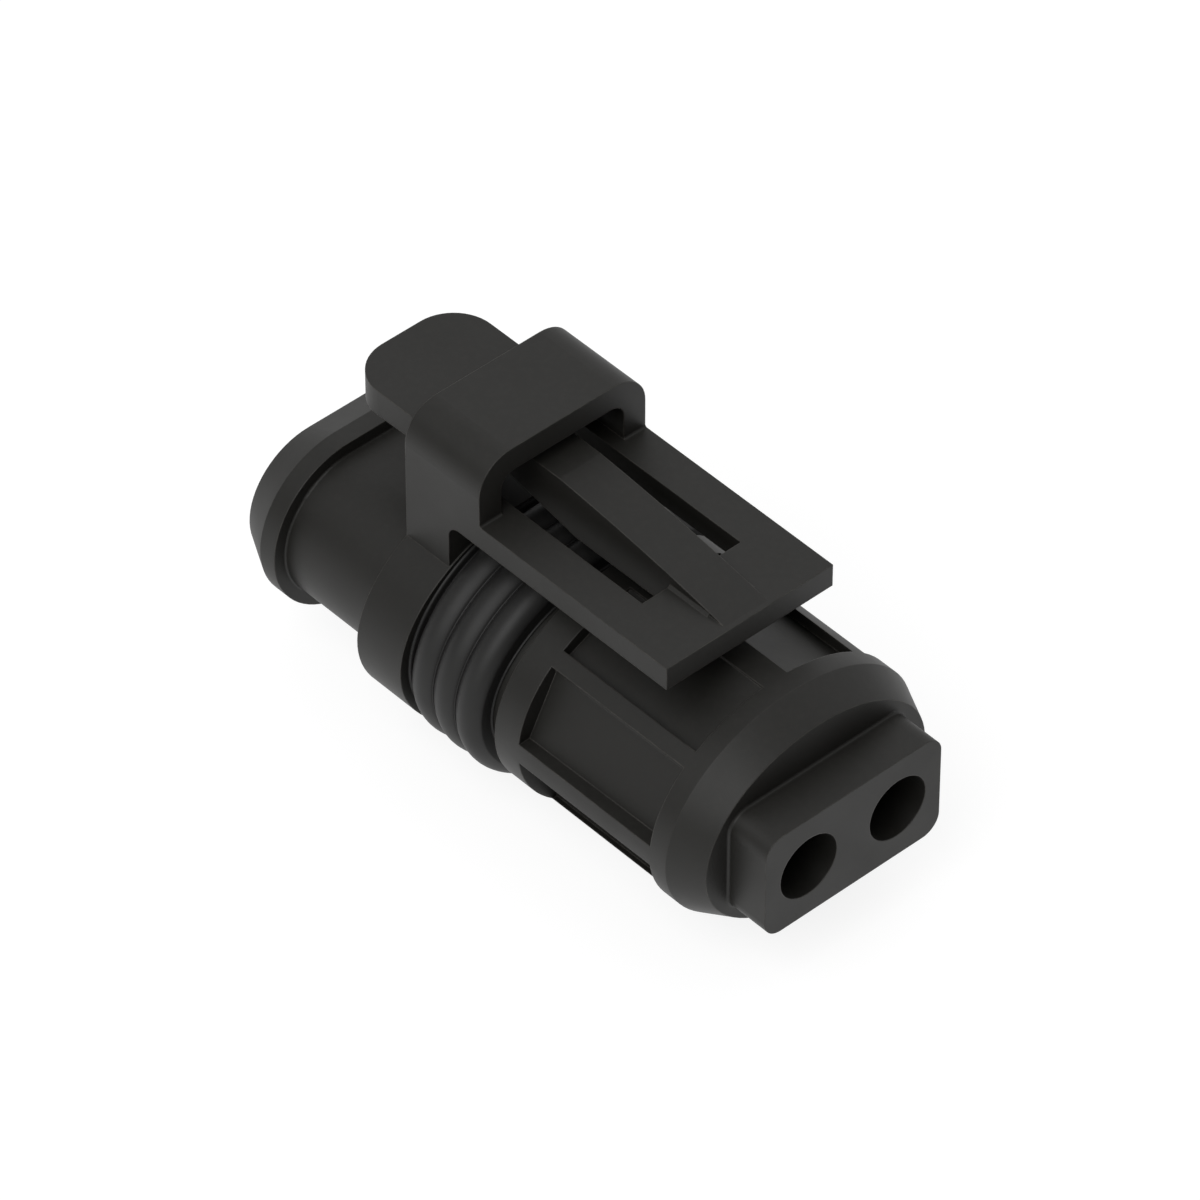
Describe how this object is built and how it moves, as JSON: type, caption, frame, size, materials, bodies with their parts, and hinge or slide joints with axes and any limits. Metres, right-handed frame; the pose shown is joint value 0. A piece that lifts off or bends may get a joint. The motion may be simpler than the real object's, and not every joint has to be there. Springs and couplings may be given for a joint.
{
  "type": "electrical connector",
  "caption": "Sealed in-line connector plug: oval body with a bridged lever latch, round-ribbed seal, pocketed front lock with socket openings, flanged wire end.",
  "frame": {"origin": "middle of the nose's flat mating face, halfway between the two socket openings", "axes": "+X out of the mating face towards the mating half, +Z to the latch side, Y along the row of contacts"},
  "size_m": [0.0372, 0.018, 0.0207],
  "materials": {
    "housing": "fine matte, black",
    "front_lock": "fine matte, black",
    "interface_seal": "satin, black",
    "contact_left": "tin plated, bright",
    "contact_right": "tin plated, bright",
    "wire_seal_left": "satin, dark grey",
    "wire_seal_right": "satin, dark grey"
  },
  "bodies": {
    "housing": {"housing": "housing", "interface_seal": "interface_seal", "contact_left": "contact_left", "contact_right": "contact_right", "wire_seal_left": "wire_seal_left", "wire_seal_right": "wire_seal_right"},
    "front_lock": {"front_lock": "front_lock"}
  },
  "joints": [
    {"name": "lock_slide", "type": "slide", "parent": "housing", "child": "front_lock", "axis": [-1, 0, 0], "range_m": [0, 0.00085]}
  ]
}
